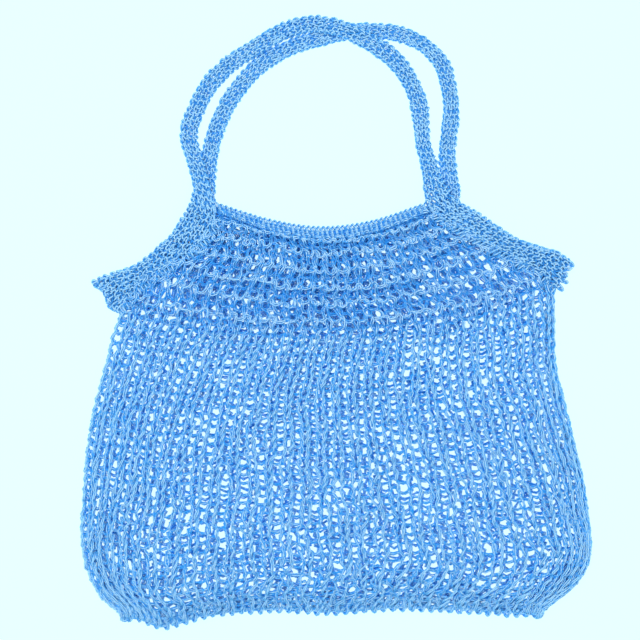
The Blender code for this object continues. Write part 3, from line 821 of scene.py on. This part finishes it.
front_rim = rim("front_rim", FRONT_RIM_HEIGHT, facing=1, seed=71, points=10, sides=5)
back_rim = rim("back_rim", BACK_RIM_HEIGHT, facing=-1, seed=72, points=9, sides=4)
for side, yoke_pieces, rim_piece in (("front", front_yoke, front_rim), ("back", back_yoke, back_rim)):
    for piece in yoke_pieces:
        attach(piece, "root")
        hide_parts("bag_body")
    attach(rim_piece, "root")
    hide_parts("rim_" + side)
    under = ["back_yoke"] if side == "front" else []
    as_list(under)

# ------------------------------------------------------------------------------------------------
# The two straps: long strips knitted firmly in garter stitch, back and forth across their width, so
# the yarn turns round at both edges. Their ends are sewn along the sides of the flaps as far as the
# side tips, and between them each strap is a handle.

STRAP_WIDTH = 0.016  # in metres, with its slanting parts, which are wider than the handle
STRAP_ROW = 2.65  # length of one row along the strap
STRAP_STITCH = 5.0  # width of one stitch
STRAP_YARN = 0.86
STRAP_DEPTH = 1.25
STRAP_MIDDLE = 1.65  # height of the middle of the strip over its underside
STRAP_INSET = 0.9  # how far the stitches stay inside the strip's edges, for their own thickness
EDGE_TURN = 0.5  # how far the yarn bulges out where it turns
EDGE_UNEVEN = 1.4  # share by which that changes from turn to turn
EDGE_SHAPE = ((0.15, 0.7), (0.5, 1.0), (0.85, 0.7))  # shares of the way round and of the bulge
# The level that the yarn's turns round the edges get, which sets their painted shade.
EDGE_LEVEL = 0.6
STRAP_FLARE = 0.15
STRAP_LOOSE = 2.2
STRAP_POINTS = 9  # points of the yarn in a stitch
STRAP_SIDES = 5  # and around it
STRAP_ACROSS = 9  # points across the strip's cloth
END_LOBE = (4.5, 0.25, 0.2)  # bulge of the ends, which aren't bound off tightly: how far, where, how wide
END_KNOB = (2.8, 0.9, 0.13)  # where is a share of the width, from the inner to the outer edge
END_ROWS = 5  # over which the bulge fades
END_FADE = 1.5
ROWS_PER_BALL = 12  # rows between two joins of the yarn
WHIP_PITCH = 3.4  # of the stitches that sew a strap to its flap
WHIP_OUT = 5.0  # how far they reach onto the flap
WHIP_IN = 1.0  # and onto the strap
WHIP_HEIGHTS = (-0.6, 1.0)
CORE_LINES = 8
CORE_YARN = 0.88
CORE_STEP = 1.6
CORE_INSET = 0.1  # of the strap's width, from its edge to the first line
CORE_SWING = 0.05  # of the strap's width
CORE_PHASE = 2.1  # how much later each line swings than the one before, in radians
CORE_RISE = 0.2

# Sections of each strap from tip to tip: x and y of the outer edge, x and y of the inner edge, and height
# of the underside.
LEFT_SLOPE = (
    (-191.5, 33.0, -170.5, 7.0, 3.5), (-179.0, 38.0, -161.0, 20.5, 3.9),
    (-158.5, 45.0, -147.0, 33.5, 5.0), (-140.0, 59.5, -129.0, 45.0, 7.0),
    (-128.5, 71.0, -113.5, 56.0, 9.0), (-120.5, 83.5, -102.5, 65.5, 10.2),
    (-115.0, 93.0, -94.0, 79.0, 10.8),
)
RIGHT_SLOPE = (
    (96.5, 93.5, 74.5, 84.0, 10.8), (109.5, 86.0, 89.5, 75.0, 10.2),
    (124.5, 75.5, 108.0, 64.5, 9.0), (141.5, 65.5, 127.5, 54.0, 7.0),
    (158.0, 59.5, 144.0, 45.0, 5.0), (172.0, 55.5, 160.5, 36.0, 3.9),
    (183.5, 49.0, 171.0, 24.0, 3.5),
)
FRONT_HANDLE = (
    (-112.5, 103.0, -97.0, 96.0, 9.5), (-115.0, 115.5, -101.0, 114.0, 6.4),
    (-119.0, 129.5, -105.0, 128.5, 3.9), (-123.5, 145.0, -109.5, 145.0, 1.6),
    (-121.5, 160.0, -106.5, 158.5, 0.2), (-115.0, 174.5, -101.0, 171.0, 0.0),
    (-105.5, 191.0, -92.5, 184.0, 0.4), (-90.0, 206.0, -79.0, 197.5, 1.8),
    (-68.0, 220.5, -60.5, 209.0, 3.7), (-44.0, 234.0, -38.5, 221.5, 3.8),
    (-20.0, 240.0, -19.0, 226.0, 3.8), (6.0, 235.5, 0.5, 223.0, 3.8),
    (28.5, 225.5, 19.0, 214.5, 3.8), (48.0, 212.0, 37.0, 202.0, 3.4),
    (59.0, 198.0, 46.5, 192.0, 1.4), (66.5, 184.0, 53.5, 180.0, 0.2),
    (71.5, 169.5, 57.5, 167.5, 0.0), (72.0, 154.5, 59.5, 154.5, 0.2),
    (73.5, 140.5, 61.0, 140.5, 1.0), (77.5, 126.5, 64.5, 125.5, 3.2),
    (82.5, 112.5, 66.5, 111.0, 6.6), (87.0, 103.0, 68.0, 96.5, 9.5),
)
BACK_HANDLE = (
    (-112.0, 103.0, -95.5, 96.5, 0.0), (-109.5, 117.0, -95.0, 116.0, 0.0),
    (-106.5, 132.0, -93.0, 131.0, 0.0), (-103.5, 145.0, -90.0, 144.5, 0.0),
    (-98.0, 161.5, -84.0, 159.0, 0.0), (-89.5, 178.0, -75.5, 174.5, 0.0),
    (-77.5, 194.0, -66.0, 186.5, 0.0), (-60.5, 210.0, -52.5, 199.0, 0.0),
    (-37.0, 221.5, -31.0, 210.5, 0.0), (-12.0, 229.5, -8.0, 217.0, 0.0),
    (11.5, 234.0, 13.0, 221.5, 0.0), (33.0, 234.0, 31.0, 221.5, 0.0),
    (56.0, 230.0, 49.5, 218.5, 0.0), (75.5, 218.5, 65.0, 211.5, 0.0),
    (88.0, 204.5, 76.0, 199.5, 0.0), (93.0, 187.0, 80.5, 185.5, 0.0),
    (95.5, 170.0, 83.0, 170.0, 0.0), (95.0, 154.5, 81.5, 154.5, 0.0),
    (93.0, 140.5, 80.0, 140.5, 0.0), (93.0, 126.5, 79.0, 126.5, 0.0),
    (95.0, 111.0, 80.0, 111.0, 0.0), (96.5, 100.5, 77.0, 96.0, 0.0),
)
BACK_LEFT, BACK_RIGHT = (tuple((*row[:4], 0.0) for row in slope) for slope in (LEFT_SLOPE, RIGHT_SLOPE))

strap_cotton = cotton(
    "strap_cotton", highlight=(0.42, 0.7, 0.9), body=(0.155, 0.45, 0.81), deep_shade=(0.05, 0.37, 0.84),
    middle_shade=0.64, depth_shade=0.4, twist=11.0,
)


def strap_edges(sections, at):
    """Outer edge, inner edge and height of the middle of a strap at distances along it."""
    table = np.array(sections, float)
    found = spline(along((table[:, 0:2] + table[:, 2:4]) / 2), table, at)
    return found[:, 0:2], found[:, 2:4], np.maximum(found[:, 4], 0.0) + STRAP_MIDDLE


def strap_length(sections):
    """Length along the middle of a strap."""
    table = np.array(sections, float)
    return along((table[:, 0:2] + table[:, 2:4]) / 2)[-1]


def lobe(share, bulge):
    """How far the end of a strap bulges at each share of its width."""
    far, where, wide = bulge
    return far * np.exp(-(((share - where) / wide) ** 2))


def strap_knit(name, sections, seed):
    """All rows of a strap, back and forth: lines of yarn that each last for some rows."""
    rows = int(round(strap_length(sections) / STRAP_ROW))
    q = np.arange(rows + 1.0)
    outer, inner, height = strap_edges(sections, q * strap_length(sections) / rows)
    across = outer - inner
    width = np.linalg.norm(across, axis=1)
    across /= width[:, None]
    inner, outer = inner + across * STRAP_INSET, outer - across * STRAP_INSET
    share = np.linspace(0, 1, STRAP_ACROSS)
    grid = inner[:, None] * (1 - share[None, :, None]) + outer[:, None] * share[None, :, None]
    bulge = lobe(share, END_LOBE) + lobe(share, END_KNOB)
    for end, step in ((0, 1), (-1, -1)):
        away = np.array([-across[end, 1], across[end, 0]]) * step
        for row in range(END_ROWS):
            grid[end + step * row] += away * (bulge * (1 - row / END_ROWS) ** END_FADE)[:, None]
    heights = np.broadcast_to(height[:, None, None], (len(q), STRAP_ACROSS, 1))
    surface = cloth(np.concatenate([grid, heights], axis=2), share, q, -1)
    bend, out = np.array(EDGE_SHAPE).T[..., None]
    lines, whole = [], []
    for k in range(rows):
        stitches = max(int(round(np.interp(k, q, width) / STRAP_STITCH)), 3)

        def stretched(at_w, at_q, stitches=stitches):
            return surface(at_w / stitches, at_q)

        kind = 1 if k % 2 == 0 else -1
        row = course(
            stretched, k + 0.5, 0, stitches, STRAP_DEPTH, seed + stitches, STRAP_POINTS,
            (kind, -kind, -kind), flare=STRAP_FLARE, loose=STRAP_LOOSE,
        )
        way = row[-1, :2] - row[0, :2]
        way = np.append(way / np.linalg.norm(way), [0.0, 0.0])
        if k % 2:
            row, way = row[::-1], -way
        if whole:
            start, end = whole[-1][-1], row[0]
            turn = EDGE_TURN * (1 + EDGE_UNEVEN * drift(k * 0.9, k % 2 * 5.0, seed + 40))
            round_edge = start * (1 - bend) + end * bend - way * turn * out
            round_edge[:, 3] = EDGE_LEVEL
            whole.append(round_edge)
        whole.append(row)
        if k % ROWS_PER_BALL == ROWS_PER_BALL - 1 or k == rows - 1:
            lines.append(np.concatenate(whole))
            whole = [row[-1:]]
    return spin(name, lines, strap_cotton, STRAP_SIDES, radius=STRAP_YARN, seed=seed)


def strap_core(name, sections, seed):
    """The close inside of a strap, where its loops cross: lines of yarn that run its whole length."""
    run = np.arange(0, strap_length(sections), CORE_STEP)
    outer, inner, height = strap_edges(sections, run)
    lines = []
    for k in range(CORE_LINES):
        swing = 2 * math.pi * run / (2 * STRAP_ROW) + CORE_PHASE * k
        share = CORE_INSET + (1 - 2 * CORE_INSET) * k / (CORE_LINES - 1) + CORE_SWING * np.sin(swing)
        points = inner + (outer - inner) * share[:, None]
        # Where a line dips, its level drops and it is painted darker: painted shade.
        level = np.cos(swing)
        lines.append(np.column_stack([points, height + CORE_RISE * level, level]))
    return spin(name, lines, core_cotton, sides=4, radius=CORE_YARN, seed=seed)


def slope_seam(slope):
    """Whip stitches that sew the slanting part of a strap to the side of its flap."""
    length = strap_length(slope)
    turns = int(length / WHIP_PITCH)

    def edge(share):
        return strap_edges(slope, share * length)[1]

    def to_flap(share):
        outer, inner, _ = strap_edges(slope, share * length)
        way = inner - outer
        return way / np.linalg.norm(way, axis=1)[:, None]

    stitches = wound(edge, to_flap, *WHIP_HEIGHTS, WHIP_OUT, WHIP_IN, turns)
    share = np.linspace(0, 1, len(stitches))
    stitches[:, 2] += strap_edges(slope, share * length)[2]
    return stitches


# The core's cotton is darker than the strap's: the core's lines are real yarn that fills the strap, painted
# with the shade between its stitches.
core_cotton = cotton(
    "core_cotton", highlight=(0.08, 0.38, 0.84), body=(0.05, 0.34, 0.8), deep_shade=(0.02, 0.26, 0.74),
    middle_shade=0.4, depth_shade=0.3,
)
for side, left, middle, right, seed in (
    ("front", LEFT_SLOPE, FRONT_HANDLE, RIGHT_SLOPE, 31), ("back", BACK_LEFT, BACK_HANDLE, BACK_RIGHT, 37),
):
    sections = left + middle + right
    knit = strap_knit(side + "_strap", sections, seed)
    core = strap_core(side + "_strap_core", sections, seed)
    seams = [slope_seam(left), slope_seam(right)]
    whip = spin(side + "_strap_seams", seams, strap_cotton, STRAP_SIDES, radius=STRAP_YARN)
    for piece in (knit, core, whip):
        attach(piece, "root")
        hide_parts("handle_" + side)
    flat = (strap_length(sections) * MM, STRAP_WIDTH)
    under = ["back_strap_core", "back_yoke"] if side == "front" else []
    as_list(under)

# ------------------------------------------------------------------------------------------------
# The stage: a plain pale surface in soft, bright studio light, seen from straight above.

VIEW_CENTRE = (-13.65, 1.56)
VIEW_WIDTH = 499.2  # across the view, at the height of the bag's upper side
VIEW_HEIGHT = 1700.0  # from there to the camera
UPPER_SIDE = 10.0
SENSOR = 36.0
FLOOR = 12.0  # metres from the bag to each edge of the surface
GLOW_TO_EYE = 0.92
GLOW_ONTO_BAG = 2.6

floor_mesh = bpy.data.meshes.new("floor")
corners = [(-FLOOR, -FLOOR, 0), (FLOOR, -FLOOR, 0), (FLOOR, FLOOR, 0), (-FLOOR, FLOOR, 0)]
floor_mesh.from_pydata(corners, [], [(0, 1, 2, 3)])
floor = bpy.data.objects.new("floor", floor_mesh)
bpy.context.scene.collection.objects.link(floor)
pale = bpy.data.materials.new("pale_surface")
pale.use_nodes = True
shader = pale.node_tree.nodes["Principled BSDF"]
shader.inputs["Base Color"].default_value = (0.065, 0.16, 0.16, 1.0)
shader.inputs["Roughness"].default_value = 0.9
shader.inputs["Specular IOR Level"].default_value = 0.1
shader.inputs["Emission Color"].default_value = (0.80, 1.0, 1.0, 1.0)
# The surface glows softly, and more onto the bag than to the eye, so the bag hardly shades itself.
seen = pale.node_tree.nodes.new("ShaderNodeLightPath")
glow = pale.node_tree.nodes.new("ShaderNodeMapRange")
glow.inputs["To Min"].default_value = GLOW_ONTO_BAG
glow.inputs["To Max"].default_value = GLOW_TO_EYE
pale.node_tree.links.new(seen.outputs["Is Camera Ray"], glow.inputs["Value"])
pale.node_tree.links.new(glow.outputs["Result"], shader.inputs["Emission Strength"])
floor_mesh.materials.append(pale)

world = bpy.data.worlds.new("studio")
world.use_nodes = True
sky = world.node_tree.nodes["Background"]
sky.inputs["Color"].default_value = (0.86, 0.95, 1.0, 1.0)
sky.inputs["Strength"].default_value = 0.6
bpy.context.scene.world = world


def softbox(name, place, size, power):
    """A square studio light that faces the bag. Place and size are in metres, power in watts."""
    lamp = bpy.data.lights.new(name, "AREA")
    lamp.shape = "SQUARE"
    lamp.size = size
    lamp.energy = power
    lamp.color = (0.95, 0.98, 1.0)
    box = bpy.data.objects.new(name, lamp)
    box.location = place
    box.rotation_mode = "QUATERNION"
    box.rotation_quaternion = (-Vector(place)).to_track_quat("-Z", "Y")
    bpy.context.scene.collection.objects.link(box)


softbox("softbox_key", (-0.35, 0.45, 1.6), 0.7, 15.0)
softbox("softbox_top", (0.35, -0.3, 1.9), 0.8, 11.0)

lens = bpy.data.cameras.new("camera")
lens.sensor_width = SENSOR
lens.lens = SENSOR * VIEW_HEIGHT / VIEW_WIDTH
camera = bpy.data.objects.new("camera", lens)
camera.location = (VIEW_CENTRE[0] * MM, VIEW_CENTRE[1] * MM, (VIEW_HEIGHT + UPPER_SIDE) * MM)
bpy.context.scene.collection.objects.link(camera)
bpy.context.scene.camera = camera
bpy.context.scene.view_settings.view_transform = "Standard"
